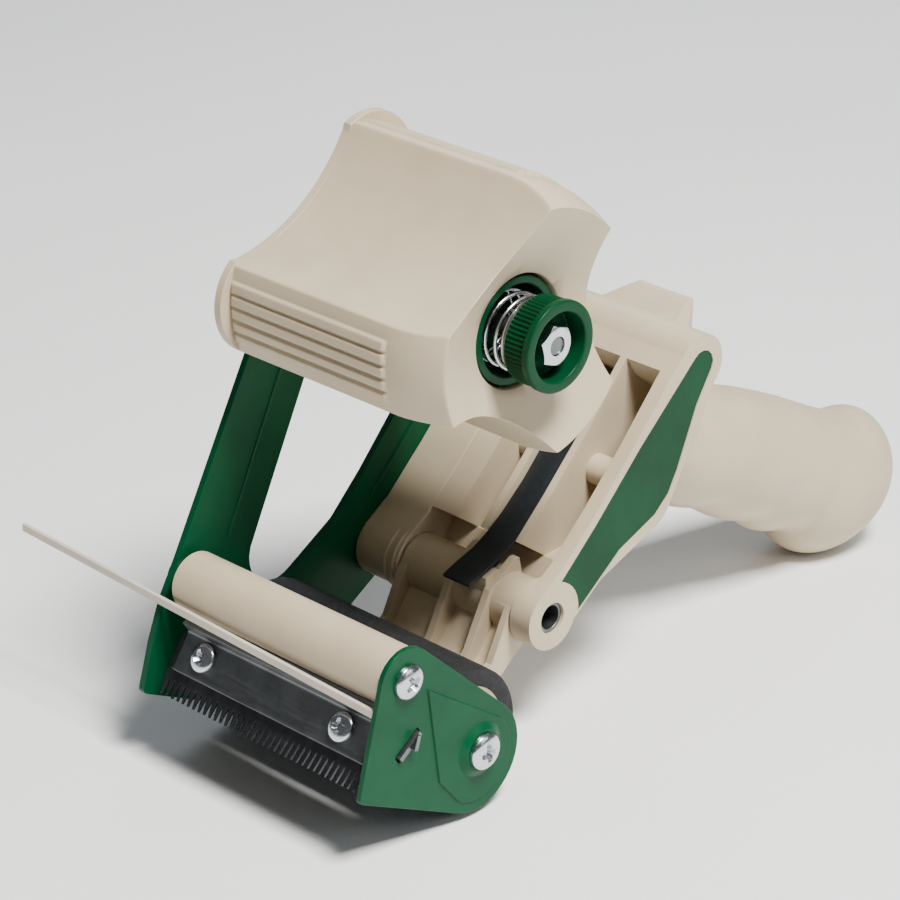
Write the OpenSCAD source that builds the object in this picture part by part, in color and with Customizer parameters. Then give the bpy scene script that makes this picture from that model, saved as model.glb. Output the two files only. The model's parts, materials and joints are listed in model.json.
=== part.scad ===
// Pistol-grip carton-sealing tape dispenser for 75 mm tape on a 76 mm core.
// Every module is drawn with the hub axis at x = 0, the near edge of the tape at y = 0
// and the table at z = 0; stand() then moves the origin under the middle of the object.
// +X runs rearward to the butt, +Y to the closed side plate, +Z up.

/* [Tape] */
// Width of the tape that the frame is built round
tape_w = 75; // [72:0.5:76]
// Radius of the hub lobes that the tape core slides over
hub_r = 37.5; // [37:0.1:37.8]

/* [Rollers] */
// Radius of the rubber application roller
roller_r = 19.3; // [19:0.1:19.6]
// Radius of the plain guide roller
guide_r = 8; // [7.6:0.1:8.4]

/* [Side plates] */
// Thickness of both steel plates
plate_t = 1.5; // [1.2:0.1:2]
// Width of the raised rim round the plates
rim_w = 3.5; // [3:0.1:4]
// Height of the raised rim
rim_h = 0.5; // [0.3:0.1:0.8]

/* [Blade] */
// Number of teeth in the cutter
teeth = 36; // [30:1:38]
// Length of one tooth
tooth_l = 4.5; // [3.5:0.1:5]

/* [Handle] */
// Radius of the hinge pin of the lever
pin_r = 4.3; // [4.2:0.05:4.4]
// Wall thickness of the handle moulding
wall = 2.2; // [2:0.1:2.4]

/* [Brake] */
// Number of turns of the brake spring
spring_turns = 7; // [6.5:0.5:7.5]
// Radius of the spring wire
wire_r = 0.7; // [0.6:0.05:0.8]

/* [Hidden] */
$fn = 48;

// Running clearance of a turning fit, and the gap beside a turning part
fit = 0.05;
side_gap = 0.5;

// Lateral stations: inner faces of the two plates
ear_y = -0.8;
far_y = tape_w + 2.5;
ear_out = ear_y - plate_t;
far_out = far_y + plate_t;

// Axes, as [x, z]
hub_at = [0, 123.4];
guide_at = [-47.5, 47.8];
roller_at = [-21.8, roller_r];
plate_end = [-22.3, 16.7];
pin_at = [21.6, 34.8];
tube_at = [77.3, 90];
nose_at = [-63.4, 19.4];

// Lateral stations of the handle moulding
near_y = 13;
body_y = 61.8;
boss_w = 7;
cheek_w = 4.2;
channel_y = 31.2;
channel_w = 10.6;
strap_w = 9.6;

// Ends of the whole object, which put the origin under its middle
front_x = -63.4;
back_x = 185;
knob_y = -6.6;
strip_end_y = 132.4;

// ---------------------------------------------------------------- helpers

module stand() {
    translate([-(front_x + back_x) / 2, -(knob_y + strip_end_y) / 2, 0]) children();
}

// A rod along y from a to b about the axis at = [x, z]
module rod(at, r, a, b) {
    translate([at[0], a, at[1]]) rotate([-90, 0, 0]) cylinder(r = r, h = b - a);
}

// A hexagonal prism along y, across-flats af
module hex_rod(at, af, a, b) {
    translate([at[0], a, at[1]]) rotate([-90, 0, 0]) cylinder(r = af / sqrt(3), h = b - a, $fn = 6);
}

// A turned shape about a y axis, its outline in [radius, y]
module turned(at) {
    translate([at[0], 0, at[1]]) rotate([-90, 0, 0]) rotate_extrude() children();
}

// A flat shape in the xz plane, made solid from y = a to y = b
module slab(a, b) {
    translate([0, b, 0]) rotate([90, 0, 0]) linear_extrude(height = b - a) children();
}

// Points on an arc about c = [x, z] from angle a to angle b
function arc(c, r, a, b, n = 10) =
    [for (i = [0 : n]) c + r * [cos(a + (b - a) * i / n), sin(a + (b - a) * i / n)]];

function unit(v) = v / norm(v);
function left_of(v) = [-v[1], v[0]];

// Mitred normal of a path at point i
function miter(p, i) =
    let (a = unit(p[max(i, 1)] - p[max(i, 1) - 1]),
         b = unit(p[min(i + 1, len(p) - 1)] - p[min(i + 1, len(p) - 1) - 1]),
         m = unit(left_of(a) + left_of(b)))
    m / (m * left_of(a));

// Outline of a bent strip of thickness t along the path p
function ribbon(p, t) = concat(
    [for (i = [0 : len(p) - 1]) p[i] + miter(p, i) * t / 2],
    [for (i = [len(p) - 1 : -1 : 0]) p[i] - miter(p, i) * t / 2]);

// Faces of a tube skinned over m rings of n points
function skin_faces(n, m) = concat(
    [[for (i = [n - 1 : -1 : 0]) i]],
    [for (j = [0 : m - 2]) for (i = [0 : n - 1])
        [j * n + i, j * n + (i + 1) % n, (j + 1) * n + (i + 1) % n, (j + 1) * n + i]],
    [[for (i = [0 : n - 1]) (m - 1) * n + i]]);

// Pan-head screw along +y: head from y = a outward to -y, shank inward
module pan_screw(at, head_r, head_h, shank_r, a, depth) {
    difference() {
        union() {
            turned(at) polygon(concat([[0, a], [head_r, a]],
                [for (i = [0 : 6]) [head_r * cos(i * 12), a - 0.8 - (head_h - 0.8) * sin(i * 15)]],
                [[0, a - head_h]]));
            rod(at, shank_r, a - 0.5, a + depth);
        }
        for (turn = [0, 90])
            translate([at[0], a - head_h, at[1]]) rotate([0, 30 + turn, 0])
                cube([head_r, 2.4, 0.9], center = true);
    }
}

// ---------------------------------------------------------------- side plates

plate_r = 14.6;
end_r = 15.1;
guide_pad_r = 8.9;
slot_at = [-46.9, 29.8];
slot_tilt = 37;

// Bottom and front of both plates, from the rear of the roller round to the guide axle
function lower_front(grow) = concat(
    arc(plate_end, end_r + grow, -60, -114, 8),
    arc(nose_at + [1.6, 1.2] + max(0, -1.2 - grow) * [1.16, 0.58], max(1.6 + grow, 0.4), -114, -193, 4));

function ear_outline(grow) = concat(
    arc(plate_end, end_r + grow, 46, -60, 12),
    lower_front(grow),
    arc(guide_at, guide_pad_r + grow, 167, 46, 8));

function side_outline(grow) = concat(
    lower_front(grow),
    [[-59.8, 33.7] + grow * [-1, 0.3], [-56, 43.9] + grow * [-1, 0.4], [-50.7, 53.5] + grow * [-1, 0.5]],
    arc(hub_at + [1, -0.6], plate_r + grow, 153, 62, 8),
    arc(tube_at, 9.5 + grow, 62, -25, 6),
    [[73, 64] + grow * [0.8, -0.6], [64.5, 53.5] + grow * [0.6, -0.8], [54, 48] + grow * [0.4, -0.9],
     [38, 38] + grow * [0.6, -0.8], [26, 28.5] + grow * [0.5, -0.8], [10.2, 18.4] + grow * [0.5, -0.8]]);

// The open window between the two arms, widened by grow
function window_outline(grow) = concat(
    arc([-15.8, 45.6], 10.2 + grow, 162, 306, 10),
    [[5.2, 46.6] + grow * [0.6, -0.8], [16, 57.6] + grow * [0.7, -0.7], [27.7, 71] + grow * [0.7, -0.7]],
    arc([32, 84], 6 + grow, -35, 90, 6),
    arc([3, 96.5], 6 + grow, 90, 162, 6));

module plate_holes(a, b) {
    rod(guide_at, 2.2, a, b);
    rod(roller_at, 2.7, a, b);
    translate([slot_at[0], (a + b) / 2, slot_at[1]]) rotate([0, -slot_tilt, 0])
        cube([9.6, b - a, 2.2], center = true);
}

module side_plate() color([0.05, 0.33, 0.17]) difference() {
    slab(far_y, far_out + rim_h) polygon(side_outline(0));
    // sunk field inside the rims
    slab(far_out, far_out + 3) difference() {
        polygon(side_outline(-rim_w));
        polygon(window_outline(rim_w));
    }
    slab(far_y - 1, far_out + 4) polygon(window_outline(0));
    plate_holes(far_y - 1, far_out + 3);
    rod(hub_at, 4.1, far_y - 1, far_out + 3);
    rod(pin_at, pin_r + fit, far_y - 1, far_out + 3);
    for (at = handle_screw_at) rod(at, 2.6, far_y - 1, far_out + 3);
}

module ear_plate() color([0.0, 0.46, 0.32]) difference() {
    union() {
        slab(ear_out, ear_y) polygon(ear_outline(0));
        // raised pressing round the roller screw, and the wider one behind the crease
        slab(ear_out - rim_h, ear_out + 0.1) polygon(concat(
            arc(plate_end, 11.9, 46, -125, 12), [[-36, 15], [-40.5, 43]]));
        turned(roller_at) polygon([[0, ear_out - 1.8], [5.6, ear_out - 1.8], [8.2, ear_out], [0, ear_out]]);
    }
    plate_holes(ear_out - 4, ear_y + 1);
}

// ---------------------------------------------------------------- hub and brake

lobe_turn = 64;
side_sag_r = 51.5;
side_sag_at = 73.2;
hub_end_y = far_y - 4.2;
lip_h = 3.6;
nose_l = 15;
nose_drop = 4.1;
lip_r = 15.2;
lip_w = 2.6;
cup_r = 14.2;
recess_r = 14.85;
recess_y = 23;
shaft_r = 6;
stud_r = 2.5;

// The three hollow flanks of the hub, moved outward by grow to leave a wall
module flanks(grow) {
    for (k = [0 : 2])
        rotate([0, -(lobe_turn + 60 + 120 * k), 0]) translate([side_sag_at + grow, -10, 0])
            rotate([-90, 0, 0]) cylinder(r = side_sag_r, h = tape_w + 30, $fn = 96);
}

module hub() color([0.87, 0.82, 0.74]) difference() {
    union() {
        translate([0, 0, hub_at[1]]) difference() {
            rotate([-90, 0, 0]) rotate_extrude($fn = 96) polygon(concat(
                [[shaft_r + fit, 14], [recess_r, 7.6], [hub_r - nose_drop, 0]],
                [for (i = [1 : 7]) [hub_r - nose_drop * pow(1 - i / 7, 1.8), nose_l * i / 7]],
                [[hub_r, hub_end_y], [shaft_r + fit, hub_end_y]]));
            flanks(0);
            // hollow inside, open at the far end
            difference() {
                rotate([-90, 0, 0]) rotate_extrude($fn = 96)
                    polygon([[10, 26], [hub_r - 3, 26], [hub_r - 3, hub_end_y + 1], [10, hub_end_y + 1]]);
                flanks(-3);
            }
        }
        // crescent lip at the far end of each lobe
        for (k = [0 : 2]) translate([0, hub_end_y - lip_w, hub_at[1]]) rotate([0, -(lobe_turn + 120 * k), 0])
            intersection() {
                translate([hub_r + lip_h - lip_r, 0, 0]) rotate([-90, 0, 0]) cylinder(r = lip_r, h = lip_w);
                translate([hub_r - 3, 0, -lip_r]) cube([lip_h + 4, lip_w, 2 * lip_r]);
            }
        // gripping ribs on each lobe
        for (k = [0 : 2]) for (a = [-6.5, 2.5, 11.5])
            translate([0, 17, hub_at[1]]) rotate([0, -(lobe_turn + 120 * k + a), 0])
                translate([hub_r - 1, 0, -0.5]) cube([1.6, hub_end_y - 19, 1]);
    }
    rod(hub_at, recess_r, -5, recess_y);
}

module hub_shaft() color([0.75, 0.76, 0.78]) {
    rod(hub_at, shaft_r, recess_y + 0.3, far_y);
    rod(hub_at, 11, hub_end_y + side_gap, far_y);
    rod(hub_at, stud_r, -5.2, recess_y + 0.4);
    rod(hub_at, 4, far_y - 0.1, far_out + 9);
}

module hub_washer() color([0.7, 0.71, 0.73]) difference() {
    rod(hub_at, 9, far_out + rim_h, far_out + rim_h + 1.6);
    rod(hub_at, 4.05, far_out, far_out + 4);
}

module hub_nut() color([0.75, 0.76, 0.78]) difference() {
    hex_rod(hub_at, 13, far_out + rim_h + 1.6, far_out + rim_h + 8.2);
    rod(hub_at, 4.02, far_out, far_out + 10);
}

cup_floor_y = recess_y - 2.7;

module friction_cup() color([0.0, 0.38, 0.24])
    turned(hub_at) polygon([[stud_r + fit, cup_floor_y], [12.6, cup_floor_y], [12.6, 9.2], [11.9, 8.4], [cup_r, 8.4],
        [cup_r, recess_y - 0.5], [stud_r + fit, recess_y - 0.5]]);

knob_back_y = 2;
washer_y = knob_back_y + 0.05;
washer_t = 0.8;
knob_r = 11.5;
knob_rim_r = 11.9;
flutes = 40;
coil_r = 9.6;

// One ring of the spring wire at turn angle a
function coil_ring(a, y) = [for (i = [0 : 7])
    let (r = coil_r + wire_r * cos(45 * i))
    [hub_at[0] + r * cos(a), y + wire_r * sin(45 * i), hub_at[1] + r * sin(a)]];

module brake_spring() color([0.8, 0.81, 0.83]) {
    steps = round(spring_turns * 20);
    first = washer_y + washer_t + wire_r + 0.05;
    span = cup_floor_y - first - wire_r - 0.05;
    polyhedron(
        points = [for (j = [0 : steps])
            each coil_ring(360 * spring_turns * j / steps, first + span * j / steps)],
        faces = skin_faces(8, steps + 1));
}

module brake_washer() color([0.78, 0.79, 0.81]) difference() {
    rod(hub_at, 10.8, washer_y, washer_y + washer_t);
    rod(hub_at, stud_r + fit, washer_y - 1, washer_y + 2);
}

module brake_knob() color([0.0, 0.42, 0.27]) difference() {
    union() {
            slab(-4.9, knob_back_y) translate(hub_at) polygon([for (i = [0 : 2 * flutes - 1])
            (knob_r - 0.6 * (i % 2)) * [cos(180 * i / flutes), sin(180 * i / flutes)]]);
        turned(hub_at) polygon([[0, -6.6], [knob_rim_r - 0.7, -6.6], [knob_rim_r, -5.9],
            [knob_rim_r, -5.1], [knob_rim_r - 0.5, -4.6], [0, -4.6]]);
    }
    rod(hub_at, 9, -8, -0.5);
    rod(hub_at, stud_r + fit, -8, knob_back_y + 1);
}

module knob_nut() color([0.82, 0.83, 0.85]) difference() {
    hex_rod(hub_at, 9.6, -5.6, -0.5);
    rod(hub_at, stud_r + fit, -8, 2);
}

// ---------------------------------------------------------------- rollers

guide_end_y = far_y - 2.5;

module guide_roller() color([0.87, 0.82, 0.74])
    turned(guide_at) polygon(concat(
        [[3 + fit, ear_y + side_gap], [guide_r - 1.5, ear_y + side_gap]],
        [for (i = [1 : 4]) [guide_r - 1.5 + 1.5 * sin(22.5 * i), ear_y + side_gap + 1.5 - 1.5 * cos(22.5 * i)]],
        [for (i = [0 : 4]) [guide_r - 1.5 + 1.5 * cos(22.5 * i), guide_end_y - 1.5 + 1.5 * sin(22.5 * i)]],
        [[3 + fit, guide_end_y]]));

module axle(at, r) difference() {
    rod(at, r, ear_y, far_y);
    rod(at, 2, ear_y - 1, ear_y + 9);
    rod(at, 2, far_y - 9, far_y + 1);
}

module guide_axle() color([0.7, 0.71, 0.73]) {
    axle(guide_at, 3);
    // shoulder that keeps the roller off the side plate
    difference() {
        rod(guide_at, 5, guide_end_y + side_gap, far_y);
        rod(guide_at, 2.5, guide_end_y, far_y + 1);
    }
}

module end_screws(at, head_r, near_face, far_face) {
    pan_screw(at, head_r, 2.4, 1.95, near_face, 6 + ear_out - near_face);
    translate([0, near_face + far_face, 0]) mirror([0, 1, 0])
        pan_screw(at, head_r, 2.4, 1.95, near_face, 6 + plate_t);
}

module guide_screws() color([0.82, 0.83, 0.85]) end_screws(guide_at, 4.6, ear_out, far_out + rim_h);

core_r = 14.5;
sleeve_gap = 1.5;
sleeve_y = ear_y + 4.2;

module roller_sleeve() color([0.07, 0.07, 0.08])
    turned(roller_at) polygon([[core_r, sleeve_y], [roller_r - 0.8, sleeve_y], [roller_r, sleeve_y + 0.8],
        [roller_r, far_y - sleeve_gap - 0.8], [roller_r - 0.8, far_y - sleeve_gap],
        [core_r, far_y - sleeve_gap]]);

module roller_core() color([0.85, 0.8, 0.72])
    turned(roller_at) polygon([[4 + fit, ear_y + side_gap], [7.5, ear_y + side_gap], [7.5, sleeve_y],
        [core_r, sleeve_y], [core_r, far_y - sleeve_gap], [7.5, far_y - sleeve_gap], [7.5, far_y - side_gap],
        [4 + fit, far_y - side_gap]]);

module roller_axle() color([0.7, 0.71, 0.73]) axle(roller_at, 4);

module roller_screws() color([0.82, 0.83, 0.85]) end_screws(roller_at, 5, ear_out - 1.8, far_out);

// ---------------------------------------------------------------- cutter

blade_at = [-55, 33];
blade_tilt = 33;
blade_t = 0.8;
blade_l = 72.6;
blade_y = 0.6;
screw_y = [tape_w / 2 - 1 - 25.3, tape_w / 2 - 1 + 25.3];

// Puts the blade plane on x = 0 with its teeth pointing to -z and the tape side at +x
module on_blade() {
    translate([blade_at[0], 0, blade_at[1]]) rotate([0, blade_tilt, 0]) children();
}

module blade_bores(r) on_blade() for (y = screw_y)
    translate([-10, y, -0.6]) rotate([0, 90, 0]) cylinder(r = r, h = 20);

module blade() color([0.2, 0.2, 0.22]) difference() {
    on_blade() translate([0, 0, 0]) rotate([90, 0, 90]) linear_extrude(height = blade_t)
        polygon(concat(
            [[blade_y + blade_l, 3.5], [blade_y, 3.5]],
            [for (i = [0 : teeth - 1]) let (p = blade_l / teeth, y0 = blade_y + i * p)
                each [[y0, -9.2], [y0 + p * 0.35, -9.2 - tooth_l], [y0 + p * 0.5, -9.2 - tooth_l],
                      [y0 + p * 0.85, -9.2]]],
            [[blade_y + blade_l, -9.2]]));
    blade_bores(2.1);
}

clamp_l = 69.8;
carrier_t = 1.4;

// A point given across and along the blade, turned into [x, z]
function off_blade(across, along) = blade_at
    + across * [cos(blade_tilt), -sin(blade_tilt)] + along * [sin(blade_tilt), cos(blade_tilt)];

carrier_path = [off_blade(1.5, -6.5), off_blade(1.5, 4.6), [-43.2, 32.7], [-50.9, 26.7]];

module blade_carrier() color([0.55, 0.57, 0.58]) difference() {
    union() {
        slab(blade_y, blade_y + clamp_l) polygon(ribbon(carrier_path, carrier_t));
        // end tabs that pass through the plates
        translate([slot_at[0], (ear_out + far_out) / 2, slot_at[1]]) rotate([0, -slot_tilt, 0])
            cube([8.6, far_out - ear_out + 2, carrier_t], center = true);
    }
    blade_bores(1.5);
}

module clamp_plate() color([0.6, 0.61, 0.62]) difference() {
    on_blade() translate([0, blade_y + clamp_l, 0]) rotate([90, 0, 0]) linear_extrude(height = clamp_l)
        polygon(ribbon([[-1.2, -6.6], [-0.6, -5], [-0.6, 3.4], [-1.1, 4.6], [-4.4, 5.9]], 1.2));
    blade_bores(2.1);
}

module blade_screws() color([0.75, 0.76, 0.78]) on_blade() for (y = screw_y)
    translate([-1.2, y, -0.6]) rotate([0, 0, -90]) pan_screw([0, 0], 3.9, 2.2, 1.45, 0, 4.6);

strip_rise = 2.1;

module wiper_strip() color([0.8, 0.76, 0.68])
    translate([-57.6, ear_y + 0.1, 40.4]) rotate([strip_rise, 0, 0])
        cube([1.2, (strip_end_y - ear_y - 0.1) / cos(strip_rise), 2.2]);

// ---------------------------------------------------------------- handle

boss_r = 8.9;
// flat outlines end just inside the round bosses, so that no two faces touch along a line
inset = 0.4;
handle_screw_at = [[77.3, 90], [55, 62]];
tube_r = 8.7;
far_wall_y = 53.4;

// Side view of the handle moulding
cheek_outline = concat(
    arc(pin_at, boss_r - inset, -25, -220, 16),
    [[16.4, 42.2], [24.9, 47.8], [37.1, 59.5], [50.9, 73.8], [65.8, 90.7]],
    arc(tube_at, tube_r - inset, 128, -29, 8),
    arc([59.4, 56], 8, -31, -62, 4),
    [[40, 39.6]]);

// What the open trough keeps: the moulding above the hinge, between the cheeks
trough_outline = concat(
    [[26.3, 49.2], [37.1, 59.5], [50.9, 73.8], [65.8, 90.7]],
    arc(tube_at, tube_r - inset, 128, -29, 8),
    arc([59.4, 56], 8, -31, -62, 4),
    [[40, 39.6]]);

// The hollow of the trough, open to the front and closed at the back
hollow_back = [[20, 54], [60, 100], [69.2, 85.2], [76.8, 79.2], [64.6, 57.8],
    [61.5, 51.9], [56.4, 49.3], [41.4, 42.6]];
hollow_outline = concat([[28.6, 47.5]], hollow_back, [[35.5, 42.2]]);

// The leaf spring's channel is open below as well, so that the leaf runs out to the lever
channel_outline = concat([[27, 42]], hollow_back, [[35.2, 41.4]]);

knuckle_floor = [[30.8, 32.7], [30.3, 34.9], [35.2, 42.8], [42.4, 43.2], [40.4, 40.2]];

leaf_seat = [[54, 62], [50.15, 68.45], [62.95, 82.05], [78, 80], [64, 56]];

module pin_bore(r) rod(pin_at, r, near_y - 5, far_out + 6);

module handle_body() color([0.8, 0.75, 0.66]) difference() {
    union() {
        slab(near_y, near_y + cheek_w) polygon(cheek_outline);
        rod(pin_at, boss_r, near_y, near_y + boss_w);
        difference() {
            slab(near_y + cheek_w - 0.1, body_y) polygon(trough_outline);
            slab(near_y + cheek_w, channel_y - wall) polygon(hollow_outline);
            slab(channel_y, channel_y + channel_w) polygon(channel_outline);
            slab(channel_y + channel_w + wall, far_wall_y) polygon(hollow_outline);
        }
        // floor behind the knuckle, and the pillar of the lower handle screw
        slab(near_y + cheek_w - 0.1, body_y) polygon(knuckle_floor);
        rod(handle_screw_at[1], 4.2, near_y + cheek_w - 0.1, body_y - 1);
        // pad that the leaf spring is screwed to
        slab(channel_y - 0.1, channel_y + channel_w + 0.1) polygon(leaf_seat);
        rod(tube_at, tube_r, near_y, body_y);
        // horn that keeps the hand clear of the tape
        hull() {
            translate([88.4, 28, 92]) cube([2.6, 19, 9]);
            translate([74, 24, 88]) cube([10, 34, 6]);
        }
    }
    slab(near_y - 1, near_y + 1.6) polygon(inlay_outline);
    pin_bore(pin_r + fit);
    rod(tube_at, 2.1, body_y - 14, body_y + 1);
    rod([55, 62], 2.1, body_y - 7, body_y + 1);
    leaf_screw_bore(1.6);
    grip_bores(1.8);
}

module far_cheek() color([0.82, 0.77, 0.68]) difference() {
    union() {
        slab(body_y, far_y) polygon(cheek_outline);
        rod(pin_at, boss_r, body_y, far_y);
        rod(tube_at, tube_r, body_y, far_y);
    }
    pin_bore(pin_r + fit);
    for (at = handle_screw_at) rod(at, 2.6, body_y - 1, far_y + 1);
}

// The coloured panel let into the near cheek
inlay_outline = concat(
    arc(pin_at, 10, -8, 72, 8), [[37.6, 56.4], [53.9, 73.2]],
    arc([78, 89.7], 4.4, 138, -20, 6),
    [[76.6, 79], [69.6, 62.2], [66.4, 56.2], [61.3, 51.6], [47.6, 45.9]]);

module cheek_inlay() color([0.0, 0.45, 0.3]) slab(near_y + 0.2, near_y + 1.6) polygon(inlay_outline);

module handle_screws() color([0.75, 0.76, 0.78]) for (at = handle_screw_at)
    translate([0, 2 * far_out, 0]) mirror([0, 1, 0]) pan_screw(at, 4.6, 2.4, 2, far_out, far_out - body_y + 3);

pin_head_y = far_out + rim_h;

module hinge_pin() color([0.72, 0.73, 0.75]) difference() {
    union() {
        rod(pin_at, pin_r, near_y + 0.8, pin_head_y + 0.5);
        turned(pin_at) polygon([[0, pin_head_y], [6.5, pin_head_y], [6, pin_head_y + 1.6],
            [3.5, pin_head_y + 2.4], [0, pin_head_y + 2.4]]);
    }
    rod(pin_at, pin_r - 1, near_y, near_y + 40);
}

// ---------------------------------------------------------------- lever and leaf spring

fin_t = 2.2;
lever_y = near_y + boss_w + 0.6;
lever_end_y = body_y - 0.6;
lever_fins = [lever_y, channel_y - fin_t - 0.6, channel_y + channel_w, lever_end_y - fin_t];

knuckle_r = 7.8;
foot_at = [3.8, 17.8];
fin_r = knuckle_r - 0.4;

// The two inner fins stand up past the knuckle and flank the leaf spring
inner_fin = concat(
    arc(pin_at, fin_r, -96, 50, 12),
    [[25, 46], [23.2, 46], [14, 39.8], [6.5, 24.6]],
    arc(foot_at, 3.4, 150, 290, 6));

outer_fin = concat(
    arc(pin_at, fin_r, -96, 108, 16),
    [[13.2, 36.6], [6.9, 23.6]],
    arc(foot_at, 3.4, 150, 290, 6));

// Curved floor that joins the fins below the knuckle
web_outline = concat(
    arc(pin_at, fin_r, -96, -60, 3),
    arc(pin_at, 5.4, -60, -150, 5),
    [[10.2, 22.6], [5.6, 19.9]],
    arc(foot_at, 3.4, 150, 290, 6));

module lever() color([0.78, 0.73, 0.65]) difference() {
    union() {
        for (y = [lever_fins[0], lever_fins[3]]) slab(y, y + fin_t) polygon(outer_fin);
        for (y = [lever_fins[1], lever_fins[2]]) slab(y, y + fin_t) polygon(inner_fin);
        slab(lever_y, lever_end_y) polygon(web_outline);
        rod(pin_at, knuckle_r, lever_y, lever_end_y);
        // saddle that the leaf spring bears on
        slab(lever_fins[1] + fin_t - 0.1, lever_fins[2] + 0.1)
            polygon([[14.6, 42.5], [18.6, 44], [21.6, 42], [20, 38], [14.6, 38.6]]);
    }
    pin_bore(pin_r + fit);
}

// Side view of the leaf: free end over the lever's knuckle, fixed end on the pad
leaf_path = [[9.6, 41.4], [15, 43.5], [21, 45.4], [26, 48], [32, 52.2], [40, 59.2], [47.5, 67.1],
    [63.3, 83.9]];
leaf_t = 1;
leaf_screw_at = [57, 77.5];

// Puts the leaf screw on z, pointing into the pad
module at_leaf_screw() {
    translate([leaf_screw_at[0], channel_y + channel_w / 2, leaf_screw_at[1]]) rotate([0, -43.2, 0]) children();
}

module leaf_screw_bore(r) at_leaf_screw() translate([0, 0, -12]) cylinder(r = r, h = 16);

module leaf_spring() color([0.09, 0.1, 0.11]) difference() {
    slab(channel_y + (channel_w - strap_w) / 2, channel_y + (channel_w + strap_w) / 2)
        polygon(ribbon(leaf_path, leaf_t));
    leaf_screw_bore(1.7);
}

module leaf_screw() color([0.75, 0.76, 0.78]) at_leaf_screw() {
    translate([0, 0, 0.55]) cylinder(r1 = 3.2, r2 = 2.4, h = 1.8);
    translate([0, 0, -8]) cylinder(r = 1.55, h = 8.6);
}

// ---------------------------------------------------------------- grip

// Stations along the grip: top point, bottom point and half width
grip_stations = [
    [[83.4, 81.4], [67.2, 52.7], 15], [[95, 74.5], [77, 46.5], 16], [[106, 69], [86, 40.3], 16.6],
    [[113.5, 65.8], [94.1, 35.6], 17], [[120, 63.6], [101.5, 32.9], 17], [[125.5, 61.6], [107, 29.8], 16.7],
    [[131, 59.2], [113, 26], 17], [[136.6, 56.7], [119.5, 22.9], 17], [[142, 54.2], [125, 20.9], 16.8],
    [[146, 52.3], [128.5, 17.8], 16.6], [[151, 49.8], [133, 15.2], 16.8], [[156.5, 47], [139, 13.5], 16.7],
    [[160.5, 45], [143.6, 11.2], 16.5], [[164, 43.3], [145.6, 7.6], 16.8], [[168.5, 41.7], [149.6, 3.2], 17.2],
    [[173, 40.8], [156.5, 0.3], 17.4], [[177.6, 40.2], [163, 0], 17.4], [[181.5, 38.2], [169.3, 1.4], 16.6],
    [[184, 34.6], [174.6, 5.2], 14.4], [[185, 30.2], [179.2, 10.5], 10.5], [[184.9, 25.6], [182.2, 16.5], 5]];
grip_sides = 28;
grip_y = tape_w / 2;

function grip_ring(s) = let (c = (s[0] + s[1]) / 2, h = (s[0] - s[1]) / 2)
    [for (i = [0 : grip_sides - 1]) let (a = 360 * i / grip_sides)
        [c[0] + h[0] * cos(a), grip_y + s[2] * sin(a), c[1] + h[1] * cos(a)]];

module grip() color([0.78, 0.76, 0.73])
    polyhedron(points = [for (s = grip_stations) each grip_ring(s)],
               faces = skin_faces(grip_sides, len(grip_stations)));

grip_screw_y = [23.5, 47.5];

// Puts the grip screws on z, pointing from the trough into the grip
module at_grip_screws() for (y = grip_screw_y)
    translate([73, y, 67.5]) rotate([0, 119.4, 0]) children();

module grip_bores(r) at_grip_screws() translate([0, 0, -6]) cylinder(r = r, h = 12);

module grip_screws() color([0.75, 0.76, 0.78]) at_grip_screws() {
    translate([0, 0, -5.4]) cylinder(r = 3.2, h = 2.2);
    translate([0, 0, -3.3]) cylinder(r = 1.75, h = 5.2);
}

// ---------------------------------------------------------------- assembly

stand() {
    side_plate();
    ear_plate();
    hub();
    hub_shaft();
    hub_washer();
    hub_nut();
    friction_cup();
    brake_spring();
    brake_washer();
    brake_knob();
    knob_nut();
    guide_roller();
    guide_axle();
    guide_screws();
    roller_sleeve();
    roller_core();
    roller_axle();
    roller_screws();
    blade_carrier();
    blade();
    clamp_plate();
    blade_screws();
    wiper_strip();
    lever();
    hinge_pin();
    leaf_spring();
    leaf_screw();
    handle_body();
    far_cheek();
    cheek_inlay();
    handle_screws();
    grip();
    grip_screws();
}
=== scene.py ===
import json
import math

import bmesh
import bpy
from mathutils import Matrix, Vector


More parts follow.
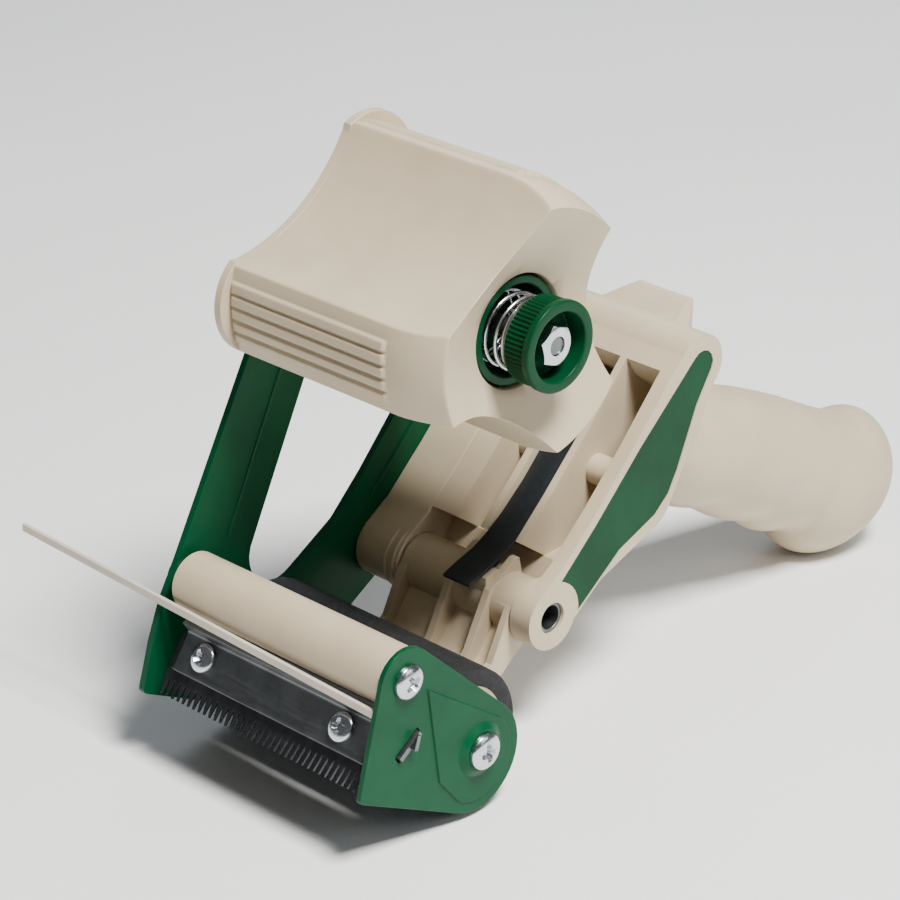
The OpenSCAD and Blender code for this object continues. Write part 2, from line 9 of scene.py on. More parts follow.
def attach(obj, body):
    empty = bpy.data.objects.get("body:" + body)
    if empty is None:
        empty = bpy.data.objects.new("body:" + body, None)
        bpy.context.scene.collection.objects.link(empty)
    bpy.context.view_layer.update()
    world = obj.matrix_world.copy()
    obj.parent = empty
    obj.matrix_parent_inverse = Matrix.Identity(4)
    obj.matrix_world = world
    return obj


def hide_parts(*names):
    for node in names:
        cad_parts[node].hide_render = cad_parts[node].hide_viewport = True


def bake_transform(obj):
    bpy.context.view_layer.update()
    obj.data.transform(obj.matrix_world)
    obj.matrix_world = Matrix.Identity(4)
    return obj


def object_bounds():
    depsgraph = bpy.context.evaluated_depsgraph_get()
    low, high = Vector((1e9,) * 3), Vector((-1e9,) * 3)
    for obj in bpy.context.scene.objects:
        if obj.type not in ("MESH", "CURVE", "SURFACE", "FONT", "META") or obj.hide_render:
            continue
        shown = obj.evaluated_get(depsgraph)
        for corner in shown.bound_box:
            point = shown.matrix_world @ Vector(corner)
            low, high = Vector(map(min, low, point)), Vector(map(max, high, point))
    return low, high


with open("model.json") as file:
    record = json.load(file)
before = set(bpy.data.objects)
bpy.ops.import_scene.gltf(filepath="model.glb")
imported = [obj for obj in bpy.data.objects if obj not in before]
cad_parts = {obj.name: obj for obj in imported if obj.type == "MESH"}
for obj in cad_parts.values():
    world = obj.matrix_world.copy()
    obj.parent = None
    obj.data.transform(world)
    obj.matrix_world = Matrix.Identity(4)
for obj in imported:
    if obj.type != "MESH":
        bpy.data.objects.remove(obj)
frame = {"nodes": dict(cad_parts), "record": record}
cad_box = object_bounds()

# ---------------------------------------------------------------- frame of reference
# Sizes below are in millimetres in the drawing frame of part.scad: hub axis at x = 0, near edge of
# the tape at y = 0, table at z = 0. ORIGIN is the row's origin in that frame.
MM = 0.001
ORIGIN = Vector(((-63.4 + 185) / 2, (-6.6 + 132.4) / 2, 0))
HUB = (0, 123.4)
GUIDE = (-47.5, 47.8)
ROLLER = (-21.8, 19.3)
PIN = (21.6, 34.8)
HANDLE_SCREWS = (77.3, 90), (55, 62)
# What faces outwards at the far side: the side plate, and the raised rim round its openings
FAR_OUT = 79
FAR_RIM = 79.5


def at(x, y, z):
    """A point of the drawing frame, in the row frame in metres."""
    return (Vector((x, y, z)) - ORIGIN) * MM


# ---------------------------------------------------------------- materials
def new_material(name):
    mat = bpy.data.materials.new(name)
    mat.use_nodes = True
    nodes = mat.node_tree.nodes
    return mat, nodes, mat.node_tree.links, nodes["Principled BSDF"]


def mix_colours(nodes, links, factor, a, b):
    mix = nodes.new("ShaderNodeMix")
    mix.data_type = "RGBA"
    mix.inputs["A"].default_value = (*a, 1)
    mix.inputs["B"].default_value = (*b, 1)
    links.new(factor, mix.inputs["Factor"])
    return mix.outputs["Result"]


def noise(nodes, links, scale, detail=4, rough=0.55, stretch=(1, 1, 1)):
    coords = nodes.new("ShaderNodeTexCoord")
    mapping = nodes.new("ShaderNodeMapping")
    mapping.inputs["Scale"].default_value = stretch
    links.new(coords.outputs["Object"], mapping.inputs["Vector"])
    tex = nodes.new("ShaderNodeTexNoise")
    tex.inputs["Scale"].default_value = scale
    tex.inputs["Detail"].default_value = detail
    tex.inputs["Roughness"].default_value = rough
    links.new(mapping.outputs["Vector"], tex.inputs["Vector"])
    return tex.outputs["Fac"]


def ramp(nodes, links, factor, low, high, out_low=0.0, out_high=1.0):
    """Maps factor from low..high to out_low..out_high."""
    node = nodes.new("ShaderNodeMapRange")
    node.inputs["From Min"].default_value = low
    node.inputs["From Max"].default_value = high
    node.inputs["To Min"].default_value = out_low
    node.inputs["To Max"].default_value = out_high
    links.new(factor, node.inputs["Value"])
    return node.outputs["Result"]


def bump(nodes, links, bsdf, height, strength, distance, after=None):
    node = nodes.new("ShaderNodeBump")
    node.inputs["Strength"].default_value = strength
    node.inputs["Distance"].default_value = distance
    links.new(height, node.inputs["Height"])
    if after is not None:
        links.new(after, node.inputs["Normal"])
    links.new(node.outputs["Normal"], bsdf.inputs["Normal"])
    return node.outputs["Normal"]


def plastic(name, colour, dark, rough, grain=2600, grain_depth=0.00004, spec=0.45):
    mat, nodes, links, bsdf = new_material(name)
    mottle = ramp(nodes, links, noise(nodes, links, 55, 3), 0.35, 0.68)
    links.new(mix_colours(nodes, links, mottle, colour, dark), bsdf.inputs["Base Color"])
    handled = noise(nodes, links, 160, 5, 0.6)
    links.new(ramp(nodes, links, handled, 0.3, 0.7, rough - 0.05, rough + 0.08), bsdf.inputs["Roughness"])
    bsdf.inputs["Specular IOR Level"].default_value = spec
    first = bump(nodes, links, bsdf, noise(nodes, links, grain, 2, 0.5), 0.35, grain_depth)
    bump(nodes, links, bsdf, noise(nodes, links, 90, 2), 0.12, 0.0004, after=first)
    return mat


def paint(name, colour, dark, rough):
    mat, nodes, links, bsdf = new_material(name)
    mottle = ramp(nodes, links, noise(nodes, links, 70, 3), 0.35, 0.7)
    links.new(mix_colours(nodes, links, mottle, colour, dark), bsdf.inputs["Base Color"])
    links.new(ramp(nodes, links, noise(nodes, links, 220, 4), 0.3, 0.7, rough - 0.04, rough + 0.08),
              bsdf.inputs["Roughness"])
    bsdf.inputs["Specular IOR Level"].default_value = 0.12
    bsdf.inputs["Coat Weight"].default_value = 0.05
    bsdf.inputs["Coat Roughness"].default_value = 0.2
    bump(nodes, links, bsdf, noise(nodes, links, 300, 1, 0.4), 0.03, 0.0001)
    return mat


def metal(name, colour, dark, rough, brush=(1, 0.04, 1), scale=2400, depth=0.00003):
    mat, nodes, links, bsdf = new_material(name)
    bsdf.inputs["Metallic"].default_value = 1.0
    streaks = noise(nodes, links, scale, 3, 0.6, brush)
    stains = noise(nodes, links, 130, 5, 0.65)
    links.new(mix_colours(nodes, links, ramp(nodes, links, stains, 0.35, 0.7), colour, dark),
              bsdf.inputs["Base Color"])
    links.new(ramp(nodes, links, streaks, 0.25, 0.75, rough - 0.06, rough + 0.12), bsdf.inputs["Roughness"])
    bump(nodes, links, bsdf, streaks, 0.25, depth)
    return mat


def rubber(name, colour, dark, rough):
    mat, nodes, links, bsdf = new_material(name)
    dust = ramp(nodes, links, noise(nodes, links, 240, 6, 0.7), 0.42, 0.72)
    links.new(mix_colours(nodes, links, dust, colour, dark), bsdf.inputs["Base Color"])
    links.new(ramp(nodes, links, noise(nodes, links, 700, 3), 0.3, 0.7, rough - 0.06, rough + 0.1),
              bsdf.inputs["Roughness"])
    bsdf.inputs["Specular IOR Level"].default_value = 0.35
    bump(nodes, links, bsdf, noise(nodes, links, 1900, 3, 0.6, (1, 0.35, 1)), 0.5, 0.00006)
    return mat


MATERIALS = {
    "beige_plastic": plastic("beige_plastic", (0.52, 0.43, 0.3), (0.48, 0.395, 0.275), 0.42, spec=0.35),
    "green_plastic": plastic("green_plastic", (0.0002, 0.045, 0.015), (0.0002, 0.034, 0.011), 0.36,
                             spec=0.12),
    "green_paint": paint("green_paint", (0.0002, 0.062, 0.023), (0.0002, 0.051, 0.019), 0.36),
    "black_rubber": rubber("black_rubber", (0.006, 0.0065, 0.008), (0.014, 0.0145, 0.016), 0.6),
    "black_spring": rubber("black_spring", (0.008, 0.011, 0.014), (0.013, 0.016, 0.02), 0.45),
    "zinc_steel": metal("zinc_steel", (0.2, 0.21, 0.215), (0.14, 0.15, 0.155), 0.4),
    "blade_steel": metal("blade_steel", (0.1, 0.105, 0.11), (0.05, 0.055, 0.06), 0.36, (1, 0.2, 1)),
    "chrome": metal("chrome", (0.62, 0.64, 0.67), (0.5, 0.52, 0.55), 0.18, (1, 1, 1), 900, 0.00002),
    "pale_plastic": plastic("pale_plastic", (0.6, 0.53, 0.44), (0.52, 0.46, 0.38), 0.38),
}
SLOT = {row["node"]: row["material_slot"] for row in frame["record"]["subparts"]}
BODY = {node: body for body, nodes in frame["record"]["behaviour"]["bodies"].items() for node in nodes}


def keep_flats(obj):
    """Lets the large faces rule the shading, so that flat sides beside rounded edges look flat."""
    mod = obj.modifiers.new("flats", "WEIGHTED_NORMAL")
    mod.weight = 80
    mod.keep_sharp = True
    apply_modifiers(obj)


def dress(obj, node, *more, body=None):
    """Gives a piece its node's finish and body, and hides the CAD parts it stands for."""
    name = SLOT[node]
    obj.data.materials.clear()
    obj.data.materials.append(MATERIALS[name])
    keep_flats(obj)
    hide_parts(node, *more)
    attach(obj, body or BODY[node])
    return obj


# ---------------------------------------------------------------- mesh helpers
def to_object(bm, name, smooth_angle=35):
    bmesh.ops.recalc_face_normals(bm, faces=bm.faces)
    mesh = bpy.data.meshes.new(name)
    bm.to_mesh(mesh)
    bm.free()
    obj = bpy.data.objects.new(name, mesh)
    bpy.context.scene.collection.objects.link(obj)
    shade(obj, smooth_angle)
    return obj


def shade(obj, angle=35):
    limit = math.radians(angle)
    bm = bmesh.new()
    bm.from_mesh(obj.data)
    for face in bm.faces:
        face.smooth = True
    for edge in bm.edges:
        edge.smooth = not edge.is_manifold or edge.calc_face_angle(0) < limit
    bm.to_mesh(obj.data)
    bm.free()


def apply_modifiers(obj):
    graph = bpy.context.evaluated_depsgraph_get()
    mesh = bpy.data.meshes.new_from_object(obj.evaluated_get(graph))
    obj.modifiers.clear()
    obj.data = mesh
    return obj


def bevel(obj, width, segments=3):
    mod = obj.modifiers.new("edges", "BEVEL")
    mod.width = width * MM
    mod.segments = segments
    mod.limit_method = "ANGLE"
    mod.angle_limit = math.radians(28)
    mod.use_clamp_overlap = True
    mod.harden_normals = False
    apply_modifiers(obj)
    shade(obj, 50)
    return obj


def cad_copy(node):
    """A clean copy of a CAD node's surface, flat faces joined up, ready to be rounded."""
    mesh = frame["nodes"][node].data.copy()
    bm = bmesh.new()
    bm.from_mesh(mesh)
    bmesh.ops.remove_doubles(bm, verts=bm.verts, dist=2e-6)
    bmesh.ops.dissolve_limit(bm, angle_limit=math.radians(0.6), verts=bm.verts, edges=bm.edges,
                             use_dissolve_boundaries=False)
    return to_object(bm, node + "_look")


def refine(node, width):
    """The usual treatment: the CAD surface with its edges rounded."""
    return dress(bevel(cad_copy(node), width), node)


# ---------------------------------------------------------------- camera, light, floor
def make_camera():
    cam = bpy.data.cameras.new("camera")
    cam.sensor_width = 36
    cam.lens = 139.74
    obj = bpy.data.objects.new("camera", cam)
    bpy.context.scene.collection.objects.link(obj)
    forward = Vector((0.6562, 0.6324, -0.4117)).normalized()
    right = Vector((0.6984, -0.7156, 0.0140))
    right = (right - forward * right.dot(forward)).normalized()
    up = right.cross(forward)
    turn = Matrix((right, up, -forward)).transposed()
    obj.matrix_world = Matrix.Translation(at(-582.0, -530.7, 449.3)) @ turn.to_4x4()
    cam.clip_end = 20
    bpy.context.scene.camera = obj


def area_light(name, place, size, power, colour=(1, 1, 1), aim=(0, 0, 0.07)):
    data = bpy.data.lights.new(name, "AREA")
    data.shape = "RECTANGLE"
    data.size, data.size_y = size
    data.energy = power
    data.color = colour
    obj = bpy.data.objects.new(name, data)
    bpy.context.scene.collection.objects.link(obj)
    obj.location = place
    obj.rotation_mode = "QUATERNION"
    obj.rotation_quaternion = (Vector(aim) - Vector(place)).to_track_quat("-Z", "Y")


def make_stage():
    mat, nodes, links, bsdf = new_material("paper")
    tone = ramp(nodes, links, noise(nodes, links, 6, 2), 0.3, 0.7)
    links.new(mix_colours(nodes, links, tone, (0.9, 0.9, 0.9), (0.875, 0.88, 0.885)),
              bsdf.inputs["Base Color"])
    bsdf.inputs["Roughness"].default_value = 0.8
    bsdf.inputs["Specular IOR Level"].default_value = 0.1
    bm = bmesh.new()
    bmesh.ops.create_grid(bm, x_segments=2, y_segments=2, size=6)
    floor = to_object(bm, "floor")
    floor.location.z = -0.0002
    floor.data.materials.append(mat)
    world = bpy.data.worlds.new("world")
    bpy.context.scene.world = world
    world.use_nodes = True
    background = world.node_tree.nodes["Background"]
    background.inputs["Color"].default_value = (0.93, 0.96, 1, 1)
    background.inputs["Strength"].default_value = 0.13
    area_light("key", (-0.12, -0.6, 1.2), (0.36, 0.36), 42, (1, 0.985, 0.945))
    area_light("fill", (0.35, -1.1, 0.55), (0.6, 0.5), 2.5, (0.9, 0.95, 1))
    area_light("rim", (0.7, 0.5, 0.7), (0.6, 0.6), 3, (0.85, 0.93, 1))


make_camera()
make_stage()

# ---------------------------------------------------------------- turned, swept and screwed pieces
def lathe(outline, segments=72, ripple=None):
    """A closed outline of (radius, height) turned about Z, in mm. ripple changes the radius."""
    bm = bmesh.new()
    rings = []
    for r, h in outline:
        ring = []
        for k in range(segments):
            a = 2 * math.pi * k / segments
            rr = ripple(r, h, a) if ripple else r
            ring.append(bm.verts.new((rr * math.cos(a), rr * math.sin(a), h)))
        rings.append(ring)
    for i, ring in enumerate(rings):
        after = rings[(i + 1) % len(rings)]
        if outline[i][0] == 0 and outline[(i + 1) % len(rings)][0] == 0:
            continue
        for k in range(segments):
            j = (k + 1) % segments
            bm.faces.new((ring[k], ring[j], after[j], after[k]))
    bmesh.ops.remove_doubles(bm, verts=bm.verts, dist=1e-5)
    return bm


def settle(bm, point, direction, name, spin=0, smooth_angle=35):
    """Moves a piece drawn in mm about Z to a point of the drawing frame, with Z along direction."""
    turn = Vector((0, 0, 1)).rotation_difference(Vector(direction)).to_matrix().to_4x4()
    spun = Matrix.Rotation(math.radians(spin), 4, "Z")
    place = Matrix.Translation(at(*point)) @ turn @ spun @ Matrix.Scale(MM, 4)
    bmesh.ops.transform(bm, matrix=place, verts=bm.verts)
    return to_object(bm, name, smooth_angle)


def rounded(outline, radius, steps=4):
    """An outline with its corners rounded."""
    out = []
    for i, point in enumerate(outline):
        p = Vector(point)
        back, ahead = Vector(outline[i - 1]) - p, Vector(outline[(i + 1) % len(outline)]) - p
        half = back.angle(ahead) / 2
        if half > 1.5 or p.x == 0:
            out.append(tuple(p))
            continue
        cut = min(radius / math.tan(half), back.length * 0.45, ahead.length * 0.45)
        start, end = p + back.normalized() * cut, p + ahead.normalized() * cut
        for k in range(steps + 1):
            t = k / steps
            out.append(tuple(start.lerp(p, t).lerp(p.lerp(end, t), t)))
    return out


def sweep(path, radius, name, sides=10, flat=1.0):
    """A round wire along points of the drawing frame; flat squeezes it across y."""
    points = [Vector(p) for p in path]
    bm = bmesh.new()
    rings = []
    normal = None
    for i, p in enumerate(points):
        along = (points[min(i + 1, len(points) - 1)] - points[max(i - 1, 0)]).normalized()
        if normal is None:
            normal = along.orthogonal().normalized()
        normal = (normal - along * normal.dot(along)).normalized()
        side = along.cross(normal)
        ring = []
        for k in range(sides):
            a = 2 * math.pi * k / sides
            offset = (normal * math.cos(a) + side * math.sin(a)) * radius
            offset.y *= flat
            ring.append(bm.verts.new(at(*(p + offset))))
        rings.append(ring)
    for a, b in zip(rings, rings[1:]):
        for k in range(sides):
            j = (k + 1) % sides
            bm.faces.new((a[k], a[j], b[j], b[k]))
    bm.faces.new(rings[0])
    bm.faces.new(rings[-1])
    return to_object(bm, name, 50)


def join(name, objects):
    """One mesh from several pieces that keep their places."""
    bm = bmesh.new()
    for obj in objects:
        bm.from_mesh(obj.data)
        bpy.data.objects.remove(obj)
    return to_object(bm, name, 35)


def cut_away(obj, tool):
    mod = obj.modifiers.new("cut", "BOOLEAN")
    mod.operation = "DIFFERENCE"
    mod.solver = "EXACT"
    mod.object = tool
    apply_modifiers(obj)
    bpy.data.objects.remove(tool)
    return obj


def cross_recess(size, depth, top):
    """The tapered four-armed hole of a cross-head screw, its mouth at height top."""
    arm, inner = size * 0.24, size * 0.24 * 1.5
    plan = []
    for sx, sy in ((1, 1), (-1, 1), (-1, -1), (1, -1)):
        corner = [(sx * size, sy * arm), (sx * inner, sy * inner), (sx * arm, sy * size)]
        plan += corner if sx == sy else corner[::-1]
    bm = bmesh.new()
    rings = [[bm.verts.new((x * s, y * s, h)) for x, y in plan]
             for s, h in ((1.12, top + 0.6), (1, top), (0.45, top - depth))]
    for a, b in zip(rings, rings[1:]):
        for k in range(len(plan)):
            j = (k + 1) % len(plan)
            bm.faces.new((a[k], a[j], b[j], b[k]))
    bm.faces.new(rings[0])
    bm.faces.new(rings[-1])
    return bm


def cross_screw(point, direction, head_r, head_h, shank_r, depth, name, spin=20):
    """A pan-head screw with its seat at point and its head rising along direction."""
    dome = [(head_r * math.cos(t), 0.7 + (head_h - 0.7) * math.sin(t)) for t in
            [math.radians(a) for a in range(8, 90, 9)]]
    outline = [(0, -depth), (shank_r - 0.3, -depth), (shank_r, 0.3 - depth), (shank_r, 0), (head_r - 0.2, 0),
               (head_r, 0.2)] + dome + [(0, head_h)]
    obj = settle(lathe(outline, 48), point, direction, name, spin)
    tool = settle(cross_recess(head_r * 0.58, head_h * 0.72, head_h), point, direction, name + "_tool", spin)
    return shade_after(cut_away(obj, tool), 32)


def shade_after(obj, angle):
    shade(obj, angle)
    return obj


def hex_nut(flats, height, hole, point, direction, name, spin=0):
    """A chamfered hexagonal nut from 0 to height, with a plain hole of radius hole."""
    segments = 96
    corner = math.pi / 6
    bm = bmesh.new()
    rows = [[] for _ in range(6)]
    for k in range(segments):
        a = 2 * math.pi * k / segments
        r = flats / 2 / math.cos((a + corner) % (2 * corner) - corner)
        lift = max(0.0, r - flats * 0.485) * 0.55
        profile = [(hole, 0), (r - 0.1, 0), (r, 0.1), (r, height - lift), (flats * 0.47, height),
                   (hole, height)]
        for row, (radius, h) in zip(rows, profile):
            row.append(bm.verts.new((radius * math.cos(a), radius * math.sin(a), h)))
    for a, b in zip(rows, rows[1:] + rows[:1]):
        for k in range(segments):
            j = (k + 1) % segments
            bm.faces.new((a[k], a[j], b[j], b[k]))
    return settle(bm, point, direction, name, spin, 25)


Y = (0, 1, 0)
NEAR = (0, -1, 0)

# ---------------------------------------------------------------- hub
LOBE, SAG_AT, SAG_R, HUB_R, HUB_END = math.radians(64), 73.2, 51.5, 37.5, 73.3


def soft_min(a, b, k=0.3):
    low = min(a, b)
    return low - k * math.log(math.exp(-(a - low) / k) + math.exp(-(b - low) / k))


def off_lobe(a):
    """Angle from the middle of the nearest lobe."""
    third = 2 * math.pi / 3
    return (a - LOBE + third / 2) % third - third / 2


def flank(a):
    """Distance from the axis to the hollow flank in direction a."""
    d = math.pi / 3 - abs(off_lobe(a))
    inside = SAG_R ** 2 - (SAG_AT * math.sin(d)) ** 2
    return SAG_AT * math.cos(d) - math.sqrt(inside) if inside > 0 else 99.0


def nose(y):
    return HUB_R - (4.1 * (1 - y / 15) ** 1.8 if y < 15 else 0)


def dish(r):
    """Depth of the near face at radius r."""
    return max(0.0, 7.6 * (33.4 - r) / (33.4 - 14.85))


def lip(a):
    d = off_lobe(a)
    inside = 15.2 ** 2 - (25.9 * math.sin(d)) ** 2
    reach = 25.9 * math.cos(d) + math.sqrt(inside) if inside > 0 else 0.0
    return reach if reach * math.cos(d) > HUB_R - 3 else 0.0


RIBS = [math.radians(v) for v in (-10.2, -4.9, 0.4, 5.7, 11)]


def rib_height(a, y):
    d = off_lobe(a)
    rise = min(1.0, max(0.0, (y - 16) / 0.9), max(0.0, (HUB_END - 2.6 - y) / 1.0))
    return 0.8 * rise * max(math.exp(-((d - rib) / math.radians(2.05)) ** 8) for rib in RIBS)


def hub_rows(a):
    """Points (radius, y) down one meridian of the hub, all round its section."""
    edge = soft_min(33.4, flank(a))
    start = dish(edge)
    rows = [(6.05, 23), (14.6, 23), (14.85, 22.7), (14.85, 8.0), (15.2, dish(15.2) - 0.02)]
    for t in (0.25, 0.5, 0.75, 1):
        r = 15.2 + (edge - 0.5 - 15.2) * t
        rows.append((r, dish(r)))
    rows += [(edge - 0.15, start + 0.03), (soft_min(nose(start + 0.15), flank(a)), start + 0.18)]
    for y in (0.8, 1.6, 2.6, 4, 6, 8, 10, 12.5, 15, 16, 16.3, 16.6, 16.9, 17.2, 24, 36, 48, 60, 69.6, 70.7):
        y = max(y, start + 0.2 + y * 0.01)
        rows.append((soft_min(nose(y), flank(a)) + rib_height(a, y), y))
    far = soft_min(HUB_R, flank(a))
    big = max(far, lip(a))
    rows += [(far, HUB_END - 2.62), (big - 0.2, HUB_END - 2.6), (big, HUB_END - 2.4), (big, HUB_END - 0.2),
             (big - 0.2, HUB_END), (far - 2.8, HUB_END), (far - 3, HUB_END - 0.2), (far - 3, 40), (10.2, 40),
             (10, HUB_END - 0.2), (9.8, HUB_END), (6.05, HUB_END)]
    return rows


def make_hub():
    segments = 900
    bm = bmesh.new()
    columns = []
    for k in range(segments):
        a = 2 * math.pi * k / segments
        columns.append([bm.verts.new(at(HUB[0] + r * math.cos(a), y, HUB[1] + r * math.sin(a)))
                        for r, y in hub_rows(a)])
    n = len(columns[0])
    for k in range(segments):
        a, b = columns[k], columns[(k + 1) % segments]
        for i in range(n):
            j = (i + 1) % n
            bm.faces.new((a[i], a[j], b[j], b[i]))
    return dress(to_object(bm, "hub_moulding", 38), "hub")


make_hub()

# ---------------------------------------------------------------- brake
KNURLS = 60


def knurl(r, h, a):
    if r < 11.2 or h < 2.15 or h > 8.25:
        return r
    return r - 0.55 * (0.5 + 0.5 * math.cos(KNURLS * a)) ** 0.8


knob = rounded([(2.6, 6.1), (9, 6.1), (9, 0), (11.9, 0), (11.9, 2), (11.45, 2)], 0.55)
knob += [(11.5, 2.1), (11.5, 2.3), (11.5, 5), (11.5, 8), (11.3, 8.3), (10.9, 8.6), (2.6, 8.6)]
dress(settle(lathe(knob, KNURLS * 10, knurl), (HUB[0], -6.6, HUB[1]), Y, "knurled_knob", smooth_angle=42),
      "brake_knob")
dress(hex_nut(9.6, 5.1, 2.55, (HUB[0], -0.5, HUB[1]), NEAR, "brake_nut", 12), "knob_nut")
thrust = rounded([(2.6, 2.05), (10.8, 2.05), (10.8, 2.85), (2.6, 2.85)], 0.25)
dress(settle(lathe(thrust), (HUB[0], 0, HUB[1]), Y, "thrust_washer"), "brake_washer")
cup = rounded([(2.6, 20.3), (12.6, 20.3), (12.6, 11.4), (12.0, 11.0), (12.0, 8.4), (14.2, 8.4), (14.2, 22.5),
               (2.6, 22.5)], 0.45)
dress(settle(lathe(cup, 96), (HUB[0], 0, HUB[1]), Y, "brake_cup"), "friction_cup")


def coil_point(t, turns, first, last):
    """The wire's centre after t turns: the end turns lie flat, the rest climbs evenly."""
    climb = min(max((t - 0.8) / (turns - 1.6), 0), 1)
    a = 2 * math.pi * t
    pitch = first + (last - first) * climb + 0.35 * (min(t, 0.8) + max(0, t - turns + 0.8))
    return (HUB[0] + 9.6 * math.cos(a), pitch, HUB[1] + 9.6 * math.sin(a))


TURNS = 6
coil = [coil_point(k / 32, TURNS, 3.6, 19.0) for k in range(TURNS * 32 + 1)]
spring = sweep(coil, 0.55, "compression_spring", 12)
spring.data.materials.append(MATERIALS["chrome"])
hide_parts("brake_spring")
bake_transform(spring)

shaft = [(0, -5.2), (2.2, -5.2), (2.5, -4.9), (2.5, 23.2), (5.7, 23.3), (6, 23.6), (6, 73.8), (10.7, 73.8),
         (11, 74.1), (11, 77.5), (4, 77.5), (4, 87.6), (3.6, 88), (0, 88)]
dress(settle(lathe(shaft, 64), (HUB[0], 0, HUB[1]), Y, "hub_spindle"), "hub_shaft")
washer = rounded([(4.1, FAR_RIM), (9, FAR_RIM), (9, 81.1), (4.1, 81.1)], 0.3)
dress(settle(lathe(washer), (HUB[0], 0, HUB[1]), Y, "spindle_washer"), "hub_washer")
dress(hex_nut(13, 6.6, 4.05, (HUB[0], 81.1, HUB[1]), Y, "spindle_nut", 20), "hub_nut")

# ---------------------------------------------------------------- rollers
tube = rounded([(3.05, -0.3), (4.6, -0.3), (4.6, 0.5), (6.6, 0.5), (6.6, -0.3), (8, -0.3), (8, 75),
                (3.05, 75)], 0.6)
dress(settle(lathe(tube, 96), (GUIDE[0], 0, GUIDE[1]), Y, "plain_roller"), "guide_roller")


def ground_rubber(r, h, a):
    """The rubber's face is very slightly uneven from grinding."""
    return r - (0.035 + 0.02 * math.sin(h * 2.1) + 0.015 * math.sin(h * 5.7 + 3 * a) if r > 19 else 0)


face = [(19.3, 3.4 + 72.6 * k / 40) for k in range(2, 39)]
sleeve = [(14.5, 3.4), (18.3, 3.4), (18.9, 3.55), (19.2, 4.0)] + face
sleeve += [(19.2, 75.4), (18.9, 75.85), (18.3, 76), (14.5, 76)]
dress(settle(lathe(sleeve, 128, ground_rubber), (ROLLER[0], 0, ROLLER[1]), Y, "rubber_tyre"), "roller_sleeve")
core = rounded([(4.05, -0.3), (7.5, -0.3), (7.5, 3.4), (14.5, 3.4), (14.5, 76), (7.5, 76), (7.5, 77),
                (4.05, 77)], 0.3)
dress(settle(lathe(core, 80), (ROLLER[0], 0, ROLLER[1]), Y, "tyre_core"), "roller_core")

# ---------------------------------------------------------------- screws
dress(join("guide_roller_screws", [
    cross_screw((GUIDE[0], -2.3, GUIDE[1]), NEAR, 4.6, 2.5, 1.9, 8, "a", 31),
    cross_screw((GUIDE[0], FAR_RIM, GUIDE[1]), Y, 4.6, 2.5, 1.9, 8, "b", 12)]), "guide_screws")
dress(join("rubber_roller_screws", [
    cross_screw((ROLLER[0], -4.1, ROLLER[1]), NEAR, 5, 2.4, 1.9, 8, "a", 8),
    cross_screw((ROLLER[0], FAR_OUT, ROLLER[1]), Y, 5, 2.4, 1.9, 8, "b", 40)]), "roller_screws")
dress(join("handle_side_screws", [
    cross_screw((x, FAR_OUT, z), Y, 4.6, 2.4, 1.9, 16, "s", spin)
    for (x, z), spin in zip(HANDLE_SCREWS, (25, 3))]), "handle_screws")

TILT = math.radians(33)


def off_blade(across, along, y):
    """A point given across and along the blade, in the drawing frame."""
    return (-55 + across * math.cos(TILT) + along * math.sin(TILT), y,
            33 - across * math.sin(TILT) + along * math.cos(TILT))


out_of_blade = (-math.cos(TILT), 0, math.sin(TILT))
dress(join("cutter_screws", [
    cross_screw(off_blade(-1.2, -0.6, y), out_of_blade, 3.9, 2.1, 1.4, 4.4, "s", spin)
    for y, spin in ((11.2, 15), (61.8, 38))]), "blade_screws")

# ---------------------------------------------------------------- pieces that keep the CAD shape, rounded
for node, width in {
    "guide_axle": 0.2, "roller_axle": 0.2, "blade": 0.08, "clamp_plate": 0.25,
    "wiper_strip": 0.25, "lever": 0.4, "hinge_pin": 0.25, "leaf_screw": 0.15,
    "handle_body": 0.55, "cheek_inlay": 0.25, "grip_screws": 0.15,
}.items():
    refine(node, width)

# ---------------------------------------------------------------- side plates, with their pressed beads
front_arm = [(-33.5, 55), (-30.6, 61), (-24, 75.5), (-17.4, 90), (-11, 104), (-6.5, 113)]
rear_arm = [(18.5, 49.8), (27, 58.4), (35.6, 67.4), (44, 76.5)]
plate = bevel(cad_copy("side_plate"), 0.45, 3)
beads = [sweep([(x, 77.55, z) for x, z in run], 0.75, "bead", 8, 0.8) for run in (front_arm, rear_arm)]
dress(join("pressed_side_plate", [plate] + beads), "side_plate")
dress(bevel(cad_copy("ear_plate"), 0.5, 4), "ear_plate")

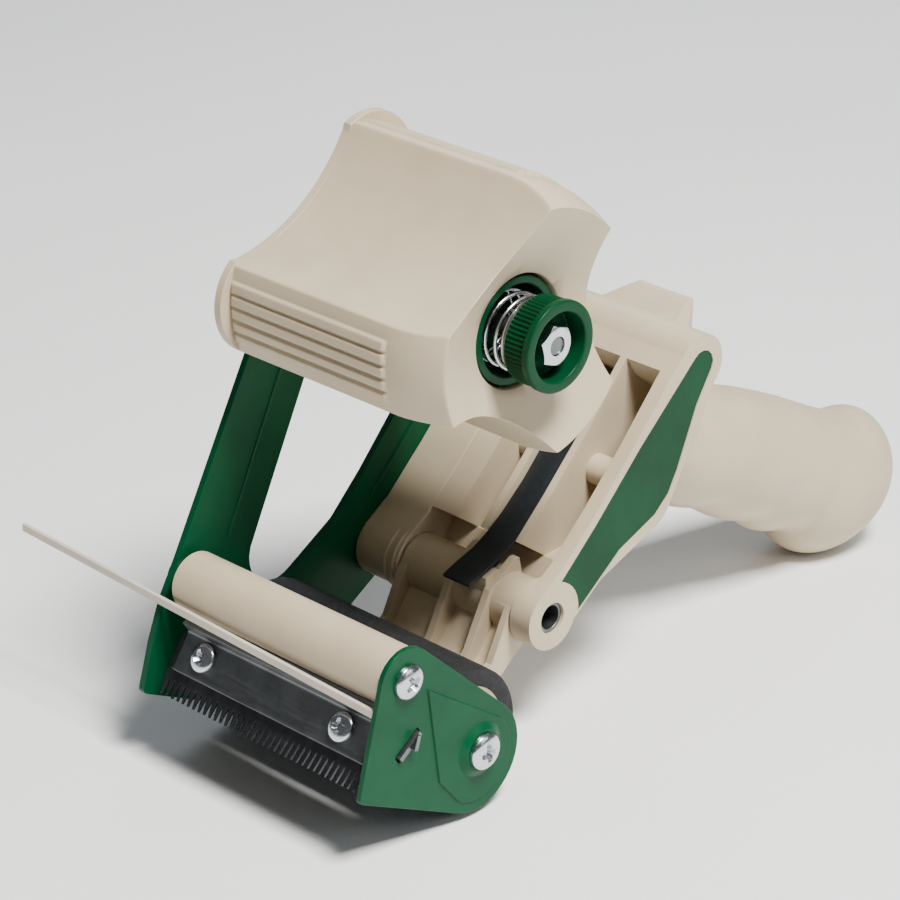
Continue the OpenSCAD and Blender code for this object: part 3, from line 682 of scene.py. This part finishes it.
# The carrier's tab comes out of the ear plate's slot and is bent over by twisting it
SLOT_TURN = Matrix.Rotation(math.radians(37), 2)
tab = bmesh.new()
rings = []
for out, twist in ((0, 0), (0.35, 8), (0.8, 24), (1.3, 38)):
    ring = []
    for corner in ((-2.1, -0.6), (2.1, -0.6), (2.1, 0.6), (-2.1, 0.6)):
        u, v = SLOT_TURN @ (Matrix.Rotation(math.radians(twist), 2) @ Vector(corner) + Vector((1.6, 0)))
        ring.append(tab.verts.new(at(-46.9 + u, -3.2 - out, 29.8 + v)))
    rings.append(ring)
for a, b in zip(rings, rings[1:]):
    for k in range(4):
        tab.faces.new((a[k], a[(k + 1) % 4], b[(k + 1) % 4], b[k]))
tab.faces.new(rings[0])
tab.faces.new(rings[-1])
carrier = [bevel(cad_copy("blade_carrier"), 0.2), bevel(to_object(tab, "tab"), 0.15)]
dress(join("bent_carrier", carrier), "blade_carrier")

# ---------------------------------------------------------------- far cheek with its seam rings
turns = [math.radians(a) for a in range(60, 250, 8)]
rings = []
for y in (63.4, 66.2):
    circle = [(PIN[0] + 8.75 * math.cos(a), y, PIN[1] + 8.75 * math.sin(a)) for a in turns]
    rings.append(sweep(circle, 0.6, "ring", 8))
dress(join("far_cheek_moulding", [bevel(cad_copy("far_cheek"), 0.6)] + rings), "far_cheek")

# ---------------------------------------------------------------- grip and leaf spring
def sharpen_cage(obj, rounds=3):
    """Moves a cage so that its smoothed surface passes through the points the cage had."""
    bm = bmesh.new()
    bm.from_mesh(obj.data)
    bmesh.ops.join_triangles(bm, faces=[f for f in bm.faces if len(f.verts) == 3],
                             angle_face_threshold=math.radians(50), angle_shape_threshold=math.radians(75))
    bm.verts.index_update()
    goal = [v.co.copy() for v in bm.verts]
    for _ in range(rounds):
        step = []
        for v in bm.verts:
            n = len(v.link_edges)
            corners = sum((f.calc_center_median() * len(f.verts) - v.co for f in v.link_faces), Vector()) / 3
            edges = sum((e.other_vert(v).co for e in v.link_edges), Vector())
            plain = n == 4 and all(len(f.verts) == 4 for f in v.link_faces)
            limit = (v.co * 16 + edges * 4 + (corners * 3 - edges * 2)) / 36 if plain else goal[v.index]
            step.append(goal[v.index] - limit)
        for v, move in zip(bm.verts, step):
            v.co += move * 0.8
    bm.to_mesh(obj.data)
    bm.free()


grip = cad_copy("grip")
sharpen_cage(grip)
mod = grip.modifiers.new("smooth", "SUBSURF")
mod.levels = mod.render_levels = 2
apply_modifiers(grip)
for vertex in grip.data.vertices:
    vertex.co.x = min(vertex.co.x, cad_box[1][0])
    vertex.co.z = max(vertex.co.z, cad_box[0][2])
dress(grip, "grip")

leaf = bevel(cad_copy("leaf_spring"), 0.18)
leaf.data.materials.append(MATERIALS["black_spring"])
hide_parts("leaf_spring")
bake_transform(leaf)
